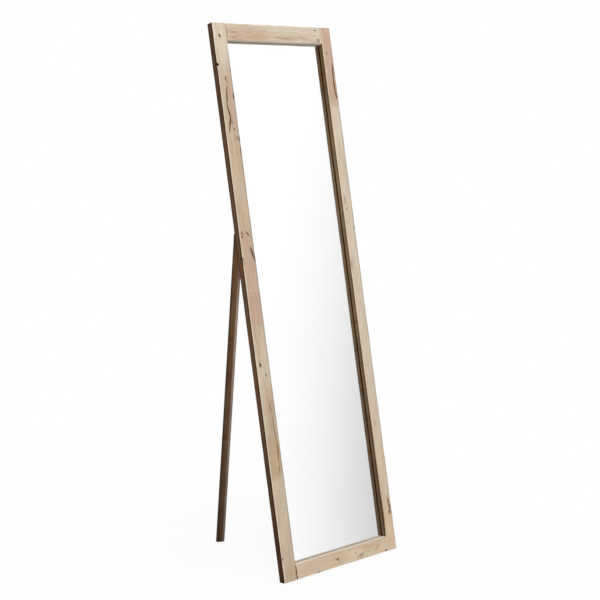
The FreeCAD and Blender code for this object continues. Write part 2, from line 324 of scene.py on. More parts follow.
@dataclass(frozen=True)
class WeatheredWood:
    """Reclaimed pine boards, sawn and left dry.

    The eye gets pale straw and pinkish patches, soft growth rings, fine fibre streaks, brown edges that were
    cut long ago, knots, nail holes and drying cracks, and no gloss. Places are in mm on the grid: the pith
    that the rings go round, an upright board's pale and grey front arris, its ends, the middle and half width
    of its sides, and where their darkening towards the bottom starts and is full. Sight is the way its inner
    edge faces.
    """

    name: str
    place: Place
    run: Run
    pale: str
    warm: str
    late: str
    edge: str
    pith: Span
    seed: float
    rings_mm: float = 5.5
    warm_share: float = 0.5
    edge_red: str = "#77543b"
    edge_middle: float = BOARD_THICK / 2
    edge_half: float = BOARD_THICK / 2
    arrises: Optional[Span] = None
    ends: Span = (0.0, 0.0)
    bottom_fade: Span = (0.0, 0.0)
    bottom_tone: str = "#40200b"
    bottom_dim: float = 0.0
    sight: float = 0.0
    marks: tuple[Mark, ...] = ()

    def material(self) -> Material:
        """Builds the wood's node material.

        Returns:
            The material, on the grid of the board's sub-assembly.
        """
        material, add, shader = new_material(self.name)
        grid = self.place.grid(add)
        turn = (0, math.pi / 2, 0) if self.run is Run.LEVEL else (0, 0, 0)
        along = add("Mapping", {
            "Vector": grid, "Rotation": turn, "Location": (self.seed, self.seed * 0.37, self.seed * 13),
        }, vector_type="POINT")
        masks = self.mark_masks(add, grid)
        colour, relief, fibre = self.timber(add, along, masks)
        colour = self.weather(add, grid, relief, colour)
        colour, relief = self.blemish(add, masks, colour, relief)
        rough = add("MapRange", {"Value": fibre, "To Min": 0.62, "To Max": 0.86})
        bump = add("Bump", {"Height": relief, "Strength": 0.55, "Distance": 0.7 * MM})
        feed(shader, {
            "Base Color": colour, "Roughness": rough, "Normal": bump, "Specular IOR Level": 0.06,
        })
        return material

    def mark_masks(self, add: Adder, grid: Socket) -> dict[MarkKind, Socket]:
        """Adds the shapes of the board's own marks, with ragged outlines.

        Args:
            add: Adds a node to the wood.
            grid: Socket with mm on the sub-assembly's grid.

        Returns:
            For each kind of mark that the board has, a socket that is 1 on its marks.
        """
        masks: dict[MarkKind, Socket] = {}
        if not self.marks:
            return masks
        # How far an outline strays across, back and up, in mm
        stray = Vector((1.6, 0, 2.6))
        ragged = cloud(add, grid, (1 / 0.34, 1 / 0.34, 5), 4.0, out="Color")
        loose = add("VectorMath", {0: ragged, 1: 2 * stray, 2: grid}, operation="MULTIPLY_ADD")
        loose = add("VectorMath", {0: loose, 1: stray}, operation="SUBTRACT")
        for mark in self.marks:
            spot = add("Mapping", {
                "Vector": loose, "Location": (mark.across, mark.back, mark.up),
                "Rotation": (0, math.radians(mark.slant), 0),
                "Scale": [MARK_REACH * half for half in (mark.wide, mark.depth, mark.tall)],
            }, vector_type="TEXTURE")
            inside = add("TexGradient", {"Vector": spot}, out="Fac", gradient_type="SPHERICAL")
            rim, full = 1 - MARK_RIM / MARK_REACH, 1 - mark.core / MARK_REACH
            if mark.kind is RING:
                line, rim, full = 0.4, 0.46 / MARK_REACH, 0.385 * mark.core / MARK_REACH
                inside = add("Math", {0: inside, 1: line}, operation="SUBTRACT")
                inside = add("Math", {0: inside}, operation="ABSOLUTE")
            mask = add("MapRange", {
                "Value": inside, "From Min": rim, "From Max": full, "To Max": mark.strength,
            }, clamp=False, **SMOOTH)
            if mark.kind in masks:
                mask = add("Math", {0: masks[mark.kind], 1: mask}, operation="MAXIMUM")
            masks[mark.kind] = mask
        return masks

    def timber(self, add: Adder, along: Socket,
               masks: Mapping[MarkKind, Socket]) -> tuple[Socket, Socket, Socket]:
        """Adds patches, growth rings, streaks, fibres and pores.

        Args:
            add: Adds a node to the wood.
            along: Socket with mm, turned so that the fibres run on its third axis.
            masks: Where the board's own marks are.

        Returns:
            Sockets with the colour, the relief and the fibre noise.
        """
        drift = cloud(add, along, (80, 80, 380), 2.0, out="Color")
        bent = add("VectorMath", {0: drift, 1: (34, 34, 0), 2: along}, operation="MULTIPLY_ADD")
        round_pith = add("VectorMath", {0: bent, 1: (*self.pith, 0)}, operation="SUBTRACT")
        saw = add("TexWave", {
            "Vector": round_pith, "Scale": wave_scale(self.rings_mm),
            "Distortion": 1.1, "Detail": 2.0, "Detail Scale": 0.6,
        }, out="Fac", wave_type="RINGS", rings_direction="Z", wave_profile="SAW")
        late = add("Math", {0: saw, 1: 2.2}, operation="POWER")
        patch = cloud(add, along, (42, 42, 230), 3.0, rough=0.55)
        streak = cloud(add, along, (4.5, 4.5, 120), 2.0, rough=0.55)
        fibre = cloud(add, along, (0.9, 0.9, 26), 2.0, rough=0.55)
        fleck = cloud(add, along, (1.8, 1.8, 17), 1.0, rough=0.55)
        start = 0.62 - 0.24 * self.warm_share
        share = add("MapRange", {"Value": patch, "From Min": start, "From Max": start + 0.12}, **SMOOTH)
        colour = add("Mix", {0: share, 6: linear(self.pale), 7: linear(self.warm)}, **RGBA)
        for kind, tone in PATCH_TONES.items():
            if kind in masks:
                colour = add("Mix", {0: masks[kind], 6: colour, 7: linear(tone)}, **RGBA)
        ring_share = add("Math", {0: late, 1: 0.26}, operation="MULTIPLY")
        colour = add("Mix", {0: ring_share, 6: colour, 7: linear(self.late)}, **RGBA)
        shade = add("MapRange", {
            "Value": fleck, "From Min": 0.64, "From Max": 0.74, "To Min": 1.0, "To Max": 0.74,
        })
        for lines, dark, light in ((streak, 0.91, 1.07), (fibre, 0.88, 1.08)):
            tone = add("MapRange", {
                "Value": lines, "From Min": 0.25, "From Max": 0.75, "To Min": dark, "To Max": light,
            })
            shade = add("Math", {0: shade, 1: tone}, operation="MULTIPLY")
        colour = add("VectorMath", {0: colour, "Scale": shade}, operation="SCALE")
        relief = add("Math", {0: shade, 1: 0.9}, operation="MULTIPLY")
        relief = add("Math", {0: late, 1: 0.25, 2: relief}, operation="MULTIPLY_ADD")
        return colour, relief, fibre

    def blemish(self, add: Adder, masks: Mapping[MarkKind, Socket],
                colour: Socket, relief: Socket) -> tuple[Socket, Socket]:
        """Adds the board's own knots, rings, cracks, holes and bites.

        Args:
            add: Adds a node to the wood.
            masks: Where the board's own marks are.
            colour: Colour so far.
            relief: Relief so far.

        Returns:
            Sockets with the colour and the relief.
        """
        for kind, tone in SPOT_TONES.items():
            if kind in masks:
                share = add("Math", {0: masks[kind], 1: relief}, operation="MULTIPLY")
                colour = add("Mix", {0: share, 6: colour, 7: linear(tone)}, **RGBA)
        for kind in (HOLE, CRACK):
            if kind in masks:
                relief = add("Math", {0: masks[kind], 1: -1.6, 2: relief}, operation="MULTIPLY_ADD")
        return colour, relief

    def weather(self, add: Adder, grid: Socket, grain: Socket, colour: Socket) -> Socket:
        """Adds the arrises' wear with a painted highlight and painted shade, the brown old sides, dust and
        painted shade at the glass, and the darker end grain.

        Args:
            add: Adds a node to the wood.
            grid: Socket with mm on the sub-assembly's grid.
            grain: Relief of the fibres and rings, about 1.
            colour: Colour so far.

        Returns:
            Socket with the colour.
        """
        facing = add("SeparateXYZ", {0: self.place.facing(add)}).node.outputs
        spot = add("SeparateXYZ", {0: grid}).node.outputs
        mottle = cloud(add, grid, (9, 9, 40), 3.0, rough=0.55)
        if self.run is Run.UPRIGHT:
            hue = cloud(add, grid, (30, 30, 170), 3.0, rough=0.55)
            if self.arrises:
                colour = self.arris_wear_and_painted_light(add, spot, mottle, colour)
            colour = self.old_sides(add, spot, facing[0], (grain, mottle, hue), colour)
            sawn_end = facing[2]
        else:
            rub = add("Math", {0: facing[2]}, operation="ABSOLUTE")
            rub = add("MapRange", {"Value": rub, **FACING, "To Max": 0.9})
            colour = add("Mix", {0: rub, 6: colour, 7: linear("#f4ead8")}, **RGBA)
            sawn_end = facing[0]
        if self.sight:
            colour = self.glass_line_dust_and_shade(add, spot, facing, colour)
        ends = add("Math", {0: sawn_end}, operation="ABSOLUTE")
        ends = add("MapRange", {"Value": ends, "From Min": 0.6, "From Max": 0.85, "To Max": 0.7})
        cut = add("Mix", {0: mottle, 6: linear("#8a6a4a"), 7: linear("#b7966f")}, **RGBA)
        return add("Mix", {0: ends, 6: colour, 7: cut}, **RGBA)

    def arris_wear_and_painted_light(self, add: Adder, spot: Sequence[Socket], mottle: Socket, colour: Socket) -> Socket:
        """Adds the front arrises: one rubbed pale, partly a painted highlight, and one grey with painted
        shade, clear of the ends.

        Args:
            add: Adds a node to the wood.
            spot: Sockets with mm across, back and up.
            mottle: A fine cloud.
            colour: Colour so far.

        Returns:
            Socket with the colour.
        """
        half = (self.ends[1] - self.ends[0]) / 2
        gap = add("Math", {0: spot[2], 1: self.ends[0] + half}, operation="SUBTRACT")
        gap = add("Math", {0: gap}, operation="ABSOLUTE")
        pale, grey = self.arrises
        # The pale arris is rubbed wear and partly a painted highlight; the grey arris is painted shade
        for arris, inward, share, tone, clear in (
                (pale, 1, 1.15, "#f2e5cf", 0), (grey, -1, 1.2, "#857c74", 120)):
            rub = add("MapRange", {
                "Value": spot[0], "From Min": arris + inward * 6.0, "From Max": arris + inward * 1.5,
                "To Max": share,
            }, **SMOOTH)
            rub = add("Math", {0: rub, 1: mottle}, operation="MULTIPLY")
            if clear:
                fade = add("MapRange", {
                    "Value": gap, "From Min": half - clear, "From Max": half - clear * 0.4,
                    "To Min": 1.0, "To Max": 0.0,
                })
                rub = add("Math", {0: rub, 1: fade}, operation="MULTIPLY")
            colour = add("Mix", {0: rub, 6: colour, 7: linear(tone)}, **RGBA)
        return colour

    def glass_line_dust_and_shade(self, add: Adder, spot: Sequence[Socket],
                   facing: Sequence[Socket], colour: Socket) -> Socket:
        """Adds a dark line of dust and painted shade where the board meets the glass, and on an upright board
        also behind its lip.

        Args:
            add: Adds a node to the wood.
            spot: Sockets with mm across, back and up.
            facing: Sockets with the normal's share across, back and up.
            colour: Colour so far.

        Returns:
            Socket with the colour.
        """
        upright = self.run is Run.UPRIGHT
        inner = add("Math", {0: facing[0 if upright else 2], 1: self.sight}, operation="MULTIPLY")
        inner = add("MapRange", {"Value": inner, **FACING})
        width, share = (2.3, 0.86) if upright else (1.1, 0.9)
        line = add("MapRange", {
            "Value": spot[1], "From Min": GLASS_BACK - width, "From Max": GLASS_BACK - 0.3, "To Max": share,
        }, **SMOOTH)
        line = add("Math", {0: line, 1: inner}, operation="MULTIPLY")
        if upright:
            lip = add("MapRange", {"Value": facing[1], **FACING})
            near = add("MapRange", {
                "Value": spot[1], "From Min": GLASS_BACK + 1.5, "From Max": GLASS_BACK + 0.5,
            })
            lip = add("Math", {0: lip, 1: near}, operation="MULTIPLY")
            line = add("Math", {0: line, 1: lip}, operation="MAXIMUM")
        # Dark brown line at the glass: dust and painted shade of the gap
        return add("Mix", {0: line, 6: colour, 7: linear("#402a18")}, **RGBA)

    def old_sides(self, add: Adder, spot: Sequence[Socket], across: Socket,
                  clouds: Sequence[Socket], colour: Socket) -> Socket:
        """Adds the sides that were sawn long ago: brown, dirty along both arrises, and darker at the ends.

        Args:
            add: Adds a node to the wood.
            spot: Sockets with mm across, back and up.
            across: Socket with how far the surface faces across.
            clouds: The grain's relief, a fine cloud and a broad cloud.
            colour: Colour so far.

        Returns:
            Socket with the colour.
        """
        grain, mottle, hue = clouds
        side = add("Math", {0: across}, operation="ABSOLUTE")
        side = add("MapRange", {"Value": side, "From Min": 0.45, "From Max": 0.75})
        dull = add("MapRange", {
            "Value": mottle, "From Min": 0.2, "From Max": 0.8, "To Min": 0.82, "To Max": 1.16,
        })
        dull = add("Math", {0: dull, 1: grain}, operation="MULTIPLY")
        middle, half = (self.ends[0] + self.ends[1]) / 2, (self.ends[1] - self.ends[0]) / 2
        for value, centre, near, far, light, dark in (
                (spot[1], self.edge_middle, self.edge_half * 0.35, self.edge_half * 0.9, 1.2, 0.42),
                (spot[2], middle, half - 9, half - 2, 1.0, 0.35)):
            gap = add("Math", {0: value, 1: centre}, operation="SUBTRACT")
            gap = add("Math", {0: gap}, operation="ABSOLUTE")
            grime = add("MapRange", {
                "Value": gap, "From Min": near, "From Max": far, "To Min": light, "To Max": dark,
            }, **SMOOTH)
            dull = add("Math", {0: dull, 1: grime}, operation="MULTIPLY")
        deepest, covered = 0.9, 0.985
        # Darker towards the bottom: the sides turn to a darker tone there, and the front dims by a share
        foot = add("MapRange", {
            "Value": spot[2], "From Min": self.bottom_fade[0], "From Max": self.bottom_fade[1], "To Max": deepest,
        })
        red = add("MapRange", {"Value": hue, "From Min": 0.42, "From Max": 0.58})
        brown = add("Mix", {0: red, 6: linear(self.edge), 7: linear(self.edge_red)}, **RGBA)
        brown = add("Mix", {0: foot, 6: brown, 7: linear(self.bottom_tone)}, **RGBA)
        old = add("Mix", {0: covered, 6: colour, 7: brown}, **RGBA)
        old = add("VectorMath", {0: old, "Scale": dull}, operation="SCALE")
        if self.bottom_dim:
            dimmed = add("MapRange", {
                "Value": foot, "From Max": deepest, "To Min": 1.0, "To Max": 1.0 - self.bottom_dim,
            })
            colour = add("VectorMath", {0: colour, "Scale": dimmed}, operation="SCALE")
        return add("Mix", {0: side, 6: colour, 7: old}, **RGBA)


@dataclass(frozen=True)
class FloatGlass:
    """Clear float glass, fire-polished: its faces have no colour, its ground edges the green of iron."""

    name: str = "clear_float_glass"

    def material(self) -> Material:
        """Builds the glass material.

        Returns:
            The material, on the frame's grid.
        """
        material, add, shader = new_material(self.name)
        flat = add("SeparateXYZ", {0: FRAME_PLACE.facing(add)}, out=1)
        flat = add("Math", {0: flat}, operation="ABSOLUTE")
        flat = add("MapRange", {"Value": flat, **FACING})
        tint = add("Mix", {0: flat, 6: linear("#bfdccb"), 7: linear("#ffffff")}, **RGBA)
        feed(shader, {"Base Color": tint, "Transmission Weight": 1.0, "IOR": 1.52, "Roughness": 0.0})
        return material


@dataclass(frozen=True)
class SilverCoat:
    """Silver deposited on the back of the glass: an even mirror, tarnished only at its hidden rim."""

    low: Vector
    high: Vector
    name: str = "deposited_silver"
    rim: float = 5.0

    def material(self) -> Material:
        """Builds the mirror material.

        Returns:
            The material, on the frame's grid.
        """
        material, add, shader = new_material(self.name)
        spot = add("SeparateXYZ", {0: FRAME_PLACE.grid(add)}).node.outputs
        edges: list[Socket] = []
        for axis in (0, 2):
            half = (self.high[axis] - self.low[axis]) / 2
            gap = add("Math", {0: spot[axis], 1: self.low[axis] + half}, operation="SUBTRACT")
            gap = add("Math", {0: gap}, operation="ABSOLUTE")
            edges.append(add("MapRange", {
                "Value": gap, "From Min": half - self.rim, "From Max": half,
            }))
        edge = add("Math", {0: edges[0], 1: edges[1]}, operation="MAXIMUM")
        tint = add("Mix", {0: edge, 6: linear("#eeeeee"), 7: linear("#b5aa9a")}, **RGBA)
        feed(shader, {"Base Color": tint, "Metallic": 1.0, "Roughness": 0.0})
        return material


@dataclass(frozen=True)
class Hardboard:
    """Pressed wood fibre: a brown matted sheet whose back keeps the weave of the press screen.

    The screen is a little coarser than a real one, so that it shows.
    """

    name: str = "pressed_hardboard"
    screen_mm: float = 2.6

    def material(self) -> Material:
        """Builds the hardboard material.

        Returns:
            The material, on the frame's grid.
        """
        material, add, shader = new_material(self.name)
        grid = FRAME_PLACE.grid(add)
        blotch = cloud(add, grid, (70, 70, 90), 4.0)
        hair = cloud(add, grid, (1 / 0.9, 1 / 0.9, 1 / 0.55), 3.0)
        wires = {"Vector": grid, "Scale": wave_scale(self.screen_mm)}
        warp = add("TexWave", wires, out="Fac", bands_direction="X")
        weft = add("TexWave", wires, out="Fac", bands_direction="Z")
        screen = add("Math", {0: warp, 1: weft}, operation="MULTIPLY")
        colour = add("Mix", {0: blotch, 6: linear("#684e38"), 7: linear("#8d6c4e")}, **RGBA)
        speck = add("MapRange", {
            "Value": hair, "From Min": 0.25, "From Max": 0.75, "To Min": 0.72, "To Max": 1.22,
        })
        dent = add("MapRange", {"Value": screen, "To Min": 0.86, "To Max": 1.06})
        shade = add("Math", {0: speck, 1: dent}, operation="MULTIPLY")
        colour = add("VectorMath", {0: colour, "Scale": shade}, operation="SCALE")
        height = add("Math", {0: hair, 1: 0.6, 2: screen}, operation="MULTIPLY_ADD")
        bump = add("Bump", {"Height": height, "Strength": 0.5, "Distance": 0.35 * MM})
        rough = add("MapRange", {"Value": hair, "To Min": 0.6, "To Max": 0.85})
        feed(shader, {
            "Base Color": colour, "Roughness": rough, "Normal": bump, "Specular IOR Level": 0.25,
        })
        return material


@dataclass(frozen=True)
class BronzedSteel:
    """Mild steel with a bronzed finish: dark warm brown with faint crystals, dull clouds and scratches."""

    name: str
    bright: str
    dull: str
    crystal_mm: float
    shine: float

    def material(self) -> Material:
        """Builds the bronzed steel material.

        Returns:
            The material, on the frame's grid.
        """
        material, add, shader = new_material(self.name)
        grid = FRAME_PLACE.grid(add)
        cell = add("VectorMath", {0: grid, "Scale": 1 / self.crystal_mm}, operation="SCALE")
        crystal = add("TexVoronoi", {"Vector": cell, "Scale": 1.0, "Randomness": 1.0}, out="Color")
        grey = add("SeparateXYZ", {0: crystal}, out=0)
        haze = cloud(add, grid, (14, 14, 14), 3.0)
        scratch = cloud(add, grid, (1 / 0.12, 1 / 2.4, 1 / 2.4), 2.0)
        blend = add("Math", {0: grey, 1: 0.4, 2: haze}, operation="MULTIPLY_ADD")
        blend = add("MapRange", {"Value": blend, "From Min": 0.35, "From Max": 1.05})
        colour = add("Mix", {0: blend, 6: linear(self.bright), 7: linear(self.dull)}, **RGBA)
        rough = add("Math", {0: scratch, 1: 0.22, 2: self.shine}, operation="MULTIPLY_ADD")
        rough = add("Math", {0: blend, 1: 0.12, 2: rough}, operation="MULTIPLY_ADD")
        bump = add("Bump", {"Height": scratch, "Strength": 0.15, "Distance": 0.1 * MM})
        feed(shader, {"Base Color": colour, "Metallic": 1.0, "Roughness": rough, "Normal": bump})
        return material


@dataclass(frozen=True)
class TurnedNylon:
    """Natural nylon, turned from rod: a warm waxy white with faint tool lines."""

    name: str = "natural_nylon"
    feed_mm: float = 0.6

    def material(self) -> Material:
        """Builds the nylon material.

        Returns:
            The material, on the legs' grid, so that the tool lines go round the pivot.
        """
        material, add, shader = new_material(self.name)
        grid = LEG_PLACE.grid(add)
        haze = cloud(add, grid, (5, 5, 5), 3.0)
        colour = add("Mix", {0: haze, 6: linear("#dcd6c6"), 7: linear("#efeadd")}, **RGBA)
        tool = add("TexWave", {
            "Vector": grid, "Scale": wave_scale(self.feed_mm),
        }, out="Fac", wave_type="RINGS", rings_direction="X")
        bump = add("Bump", {"Height": tool, "Strength": 0.2, "Distance": 0.06 * MM})
        rough = add("MapRange", {"Value": haze, "To Min": 0.36, "To Max": 0.5})
        feed(shader, {
            "Base Color": colour, "Roughness": rough, "Normal": bump,
            "Subsurface Weight": 0.15, "Subsurface Radius": (0.003, 0.0025, 0.002),
        })
        return material


@dataclass(frozen=True)
class Notch:
    """A bite out of a board: its middle on the grid, how far it reaches and how deep it goes in, in mm.

    It goes back by a share of its depth.
    """

    middle: Point
    reach: float
    depth: float
    back_share: float = 0.55


@dataclass
class WornBoard:
    """A sawn board: the CAD board, its arrises rubbed uneven and its bites taken out.

    Sizes are in mm: how deep the wear goes and how far it reaches from an arris, the length of its ripples,
    the distance between the rings that let it show, and how far each end's front edge is eased back.
    """

    node: str
    body: str
    slot: str
    wood: WeatheredWood
    rub: float = 0.5
    reach: float = 4.0
    ripple: float = 38.0
    step: float = 24.0
    end_ring: float = 1.2
    end_ease: Span = (0.4, 0.4)
    notches: tuple[Notch, ...] = ()
    flat_angle: float = math.radians(0.4)
    sharp_angle: float = math.radians(34)

    def build(self) -> bpy.types.Object:
        """Makes the board and puts it in the node's place.

        Returns:
            The board's object, dressed and riding.
        """
        world = self.wood.place.to_world()
        shape = bmesh.new()
        shape.from_mesh(frame["nodes"][self.node].data)
        bmesh.ops.remove_doubles(shape, verts=shape.verts, dist=1e-6)
        bmesh.ops.transform(shape, matrix=world.inverted(), verts=shape.verts)
        bmesh.ops.dissolve_limit(shape, angle_limit=self.flat_angle, verts=shape.verts, edges=shape.edges)
        low, high = corners([vert.co for vert in shape.verts])
        run = 2 if self.wood.run is Run.UPRIGHT else 0
        self.cut_rings(shape, low, high, run)
        for vert in shape.verts:
            vert.co = self.rubbed(vert.co, low, high, run)
        bmesh.ops.transform(shape, matrix=world, verts=shape.verts)
        for face in shape.faces:
            face.smooth = True
        for edge in shape.edges:
            edge.smooth = edge.calc_face_angle(0.0) < self.sharp_angle
        board = add_piece("worn_" + self.node, shape, self.wood.material())
        settle = board.modifiers.new("flat_faces", "WEIGHTED_NORMAL")
        settle.keep_sharp = True
        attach(board, self.body)
        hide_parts(self.node)
        log.info("board %s: %d faces", board.name, len(board.data.polygons))
        return board

    def cut_rings(self, shape: bmesh.types.BMesh, low: Vector, high: Vector, run: int) -> None:
        """Cuts rings and lines into the board, so that its arrises can be rubbed.

        Args:
            shape: The board on its grid.
            low: Lowest corner.
            high: Highest corner.
            run: Axis that the board runs along.
        """
        length = high[run] - low[run]
        count = int(length / self.step)
        cuts = [(run, low[run] + length * i / count) for i in range(1, count)]
        cuts += [(run, low[run] + self.end_ring), (run, high[run] - self.end_ring)]
        for axis in range(3):
            if axis != run and high[axis] - low[axis] > 4 * self.reach:
                cuts += [(axis, low[axis] + self.reach), (axis, high[axis] - self.reach)]
        # A bite needs lines closer together
        for notch in self.notches:
            cuts += [(2, notch.middle[2] + notch.reach * k / 4) for k in range(-5, 6)]
            cuts += [(0, low[0] + inset) for inset in (2.0, 6.0)]
            cuts += [(1, low[1] + inset) for inset in (2.0, 6.0, 8.0)]
        for axis, place in cuts:
            middle, normal = Vector(), Vector()
            middle[axis], normal[axis] = place, 1.0
            geometry = shape.verts[:] + shape.edges[:] + shape.faces[:]
            bmesh.ops.bisect_plane(shape, geom=geometry, dist=1e-4, plane_co=middle, plane_no=normal)

    def rubbed(self, point: Vector, low: Vector, high: Vector, run: int) -> Vector:
        """Moves a point inwards by the wear at its place.

        Args:
            point: Point on the board's grid.
            low: Lowest corner.
            high: Highest corner.
            run: Axis that the board runs along.

        Returns:
            The point after wear.
        """
        moved = point.copy()
        middle = (low + high) / 2
        one, two = [axis for axis in range(3) if axis != run]
        for a in (low[one], high[one]):
            for b in (low[two], high[two]):
                far = math.hypot(point[one] - a, point[two] - b)
                if far < self.reach:
                    key = Vector((point[run] / self.ripple, a * 0.31 + self.wood.seed, b * 0.27))
                    wear = 0.25 + max(0.0, noise.noise(key) * 1.6)
                    pull = self.rub * (1 - far / self.reach) * wear
                    moved[one] += math.copysign(pull, middle[one] - a)
                    moved[two] += math.copysign(pull, middle[two] - b)
        at_end, at_front = 0.05, 2.5
        for end, ease in zip((low[run], high[run]), self.end_ease):
            if abs(point[run] - end) < at_end and point.y < low.y + at_front:
                moved.y += ease
        for notch in self.notches:
            gap = point - Vector(notch.middle)
            if gap.length < notch.reach:
                bite = notch.depth * (1 - (gap.length / notch.reach) ** 2)
                moved += Vector((bite, bite * notch.back_share, 0))
        return moved


def dress(nodes: Sequence[str], material: Material) -> None:
    """Gives CAD nodes a material and reports them.

    Args:
        nodes: Names of the nodes.
        material: What they are made of.
    """
    for name in nodes:
        for slot in frame["nodes"][name].material_slots:
            slot.material = material
        log.info("fitting %s: %s", name, material.name)


LEFT_STILE_MARKS = (
    Mark(BLEACH, 24, 1650, 70, 105, 0.85, 0.3), Mark(BLUSH, 36, 1450, 18, 130, 0.8, 0.3),
    Mark(DUN, 24, 1290, 40, 100, 0.3, 0.3), Mark(DUN, 20, 1120, 40, 90, 0.25, 0.3),
    Mark(BLUSH, 24, 980, 44, 115, 0.75, 0.5), Mark(BLUSH, 24, 832, 90, 50, 0.95, 0.95),
    Mark(BLEACH, 20, 675, 60, 110, 0.4, 0.6), Mark(DUN, 20, 378, 40, 64, 0.75, 0.8),
    Mark(BLEACH, 24, 200, 40, 120, 0.3, 0.6), Mark(BLUSH, 40, 120, 14, 70, 0.5, 0.2),
    Mark(DUN, 24, 20, 40, 30, 0.4, 0.3), Mark(HOLE, 22, 1661, 3.8, 5, 0.9),
    Mark(KNOT, 24, 1657, 6, 7, 0.5, 0.2), Mark(BITE, 0, 1573, 6.5, 4.6, core=0.85, depth=9),
    Mark(HOLE, 0, 1560, 3, 190, 0.25, 0.8, depth=12, back=15),
    Mark(HOLE, 0, 981, 3, 9, 0.85, depth=8, back=8), Mark(RING, 4, 976, 5, 10, 0.6),
    Mark(KNOT, 24, 1531, 4, 10, 0.85, 0.4, slant=12), Mark(KNOT, 28, 1520, 2.5, 5, 0.6),
    Mark(CRACK, 21, 1480, 3, 36, slant=6), Mark(CRACK, 20.5, 1430, 3.2, 27, slant=-10),
    Mark(CRACK, 18.5, 1390, 3.2, 27, slant=12), Mark(KNOT, 22, 1405, 4, 12, 0.6),
    Mark(KNOT, 27, 1396, 3, 6, 0.5), Mark(KNOT, 32, 1376, 3.5, 6, 0.6, slant=-20),
    Mark(KNOT, 36, 1349, 4, 6, 0.5), Mark(HOLE, 46, 1555, 2.4, 6, 0.8), Mark(HOLE, 45, 1476, 3, 12, 0.95),
    Mark(HOLE, 45, 1347, 3, 10, 0.95), Mark(CRACK, 45, 1310, 2.8, 17, 0.9),
    Mark(CRACK, 18, 1165, 1.4, 14, 0.3, slant=-15), Mark(CRACK, 10.5, 1061, 2.6, 6, 0.95, slant=8),
    Mark(CRACK, 9.5, 1050, 3, 5, 0.95), Mark(CRACK, 31, 1057, 2.6, 11, 0.95, slant=-31),
    Mark(CRACK, 39.5, 995, 3.4, 28, slant=-15), Mark(CRACK, 12, 745, 1.4, 34, 0.3),
    Mark(CRACK, 20, 735, 1.6, 48, 0.35), Mark(CRACK, 27, 760, 1.4, 28, 0.3),
    Mark(CRACK, 15, 700, 1.4, 30, 0.25), Mark(HOLE, 14.5, 660, 4, 7.5, slant=-15),
    Mark(KNOT, 14, 668, 7, 13, 0.3, 0.2), Mark(HOLE, 30.5, 629, 2.5, 4.5, 0.85),
    Mark(KNOT, 8, 592, 3, 4, 0.35), Mark(CRACK, 31, 528, 2.6, 20, 0.6, slant=-9),
    Mark(CRACK, 35.5, 465, 2.8, 52, 0.65, slant=-2), Mark(CRACK, 37.5, 393, 2.8, 36, 0.65, slant=1),
    Mark(CRACK, 35.5, 342, 2.6, 14, 0.5, slant=8), Mark(HOLE, 4.5, 73, 2.2, 4, 0.8, 0.8),
)
RIGHT_STILE_MARKS = (
    Mark(BLUSH, 434, 1590, 60, 132, 0.9, 0.9), Mark(BLEACH, 413, 1640, 5, 90, 0.5, 0.3),
    Mark(BLEACH, 432, 1020, 30, 190, 0.35, 0.3), Mark(BLUSH, 418, 935, 10, 34, 0.6, 0.2),
    Mark(PEACH, 432, 280, 40, 150, 0.35, 0.3), Mark(PEACH, 430, 90, 40, 110, 0.65, 0.6),
    Mark(HOLE, 425.5, 1618, 3.2, 4, 0.7), Mark(CRACK, 441, 1556, 3, 30, 0.9, slant=4),
    Mark(CRACK, 440, 1515, 3.2, 30, 0.95), Mark(CRACK, 442, 1484, 3.2, 18, 0.95, slant=-8),
    Mark(KNOT, 422, 1138, 3, 16, 0.4), Mark(KNOT, 425, 1112, 4, 7, 0.5), Mark(HOLE, 446, 1051, 2.2, 8, 0.6),
    Mark(KNOT, 416, 930, 3, 14, 0.4), Mark(HOLE, 420, 604, 2.4, 3.5, 0.45), Mark(KNOT, 427, 412, 4, 9, 0.3),
    Mark(KNOT, 439, 172, 2.4, 6, 0.6), Mark(KNOT, 439.5, 157, 3.8, 11),
    Mark(KNOT, 441.5, 140, 4.6, 11, slant=-15), Mark(KNOT, 440, 123, 4.4, 11, slant=8),
    Mark(CRACK, 411, 130, 4.6, 84, 0.8, 0.7, depth=3), Mark(CRACK, 411, 300, 3.2, 270, 0.7, depth=3),
    Mark(KNOT, 411, 1650, 4, 170, 0.5, 0.9, depth=8, back=10),
    Mark(KNOT, 411, 860, 4, 110, 0.26, 0.3, depth=8, back=10),
    Mark(KNOT, 411, 1400, 4, 110, 0.16, 0.4, depth=8, back=10),
    Mark(KNOT, 411, 745, 4, 5, 0.6, depth=7, back=10), Mark(KNOT, 411, 655, 4, 6, 0.45, depth=5, back=12),
    Mark(KNOT, 411, 525, 4, 4, 0.5, depth=8, back=8),
)
TOP_RAIL_MARKS = (
    Mark(BLEACH, 150, 1698, 130, 7, 0.6, 0.4), Mark(BLEACH, 398, 1684, 20, 20, 0.5, 0.2),
    Mark(BLUSH, 84, 1670, 34, 17, 0.7, 0.4), Mark(DUN, 165, 1660, 60, 17, 0.65, 0.3),
    Mark(DUN, 250, 1660, 70, 8, 0.4, 0.2, slant=4), Mark(DUN, 100, 1650, 60, 5, 0.5, 0.3),
    Mark(BLUSH, 122, 1668, 100, 30, 0.6, 0.5), Mark(HOLE, 389.5, 1690, 5.8, 1.9, 0.85),
    Mark(RING, 398, 1656.5, 6.2, 6, 0.75), Mark(KNOT, 398, 1656.5, 5.5, 5, 0.35, 0.3),
    Mark(KNOT, 333, 1664, 7, 5, 0.2, 0.2), Mark(CRACK, 60, 1677, 11, 2, 0.35),
    Mark(CRACK, 78, 1673, 12, 1.8, 0.4), Mark(CRACK, 72, 1658, 16, 2, 0.35),
    Mark(CRACK, 128, 1674, 13, 1.5, 0.35), Mark(CRACK, 260, 1660, 42, 2, 0.28, slant=4),
    Mark(CRACK, 50, 1672, 1.8, 24, 0.5),
)
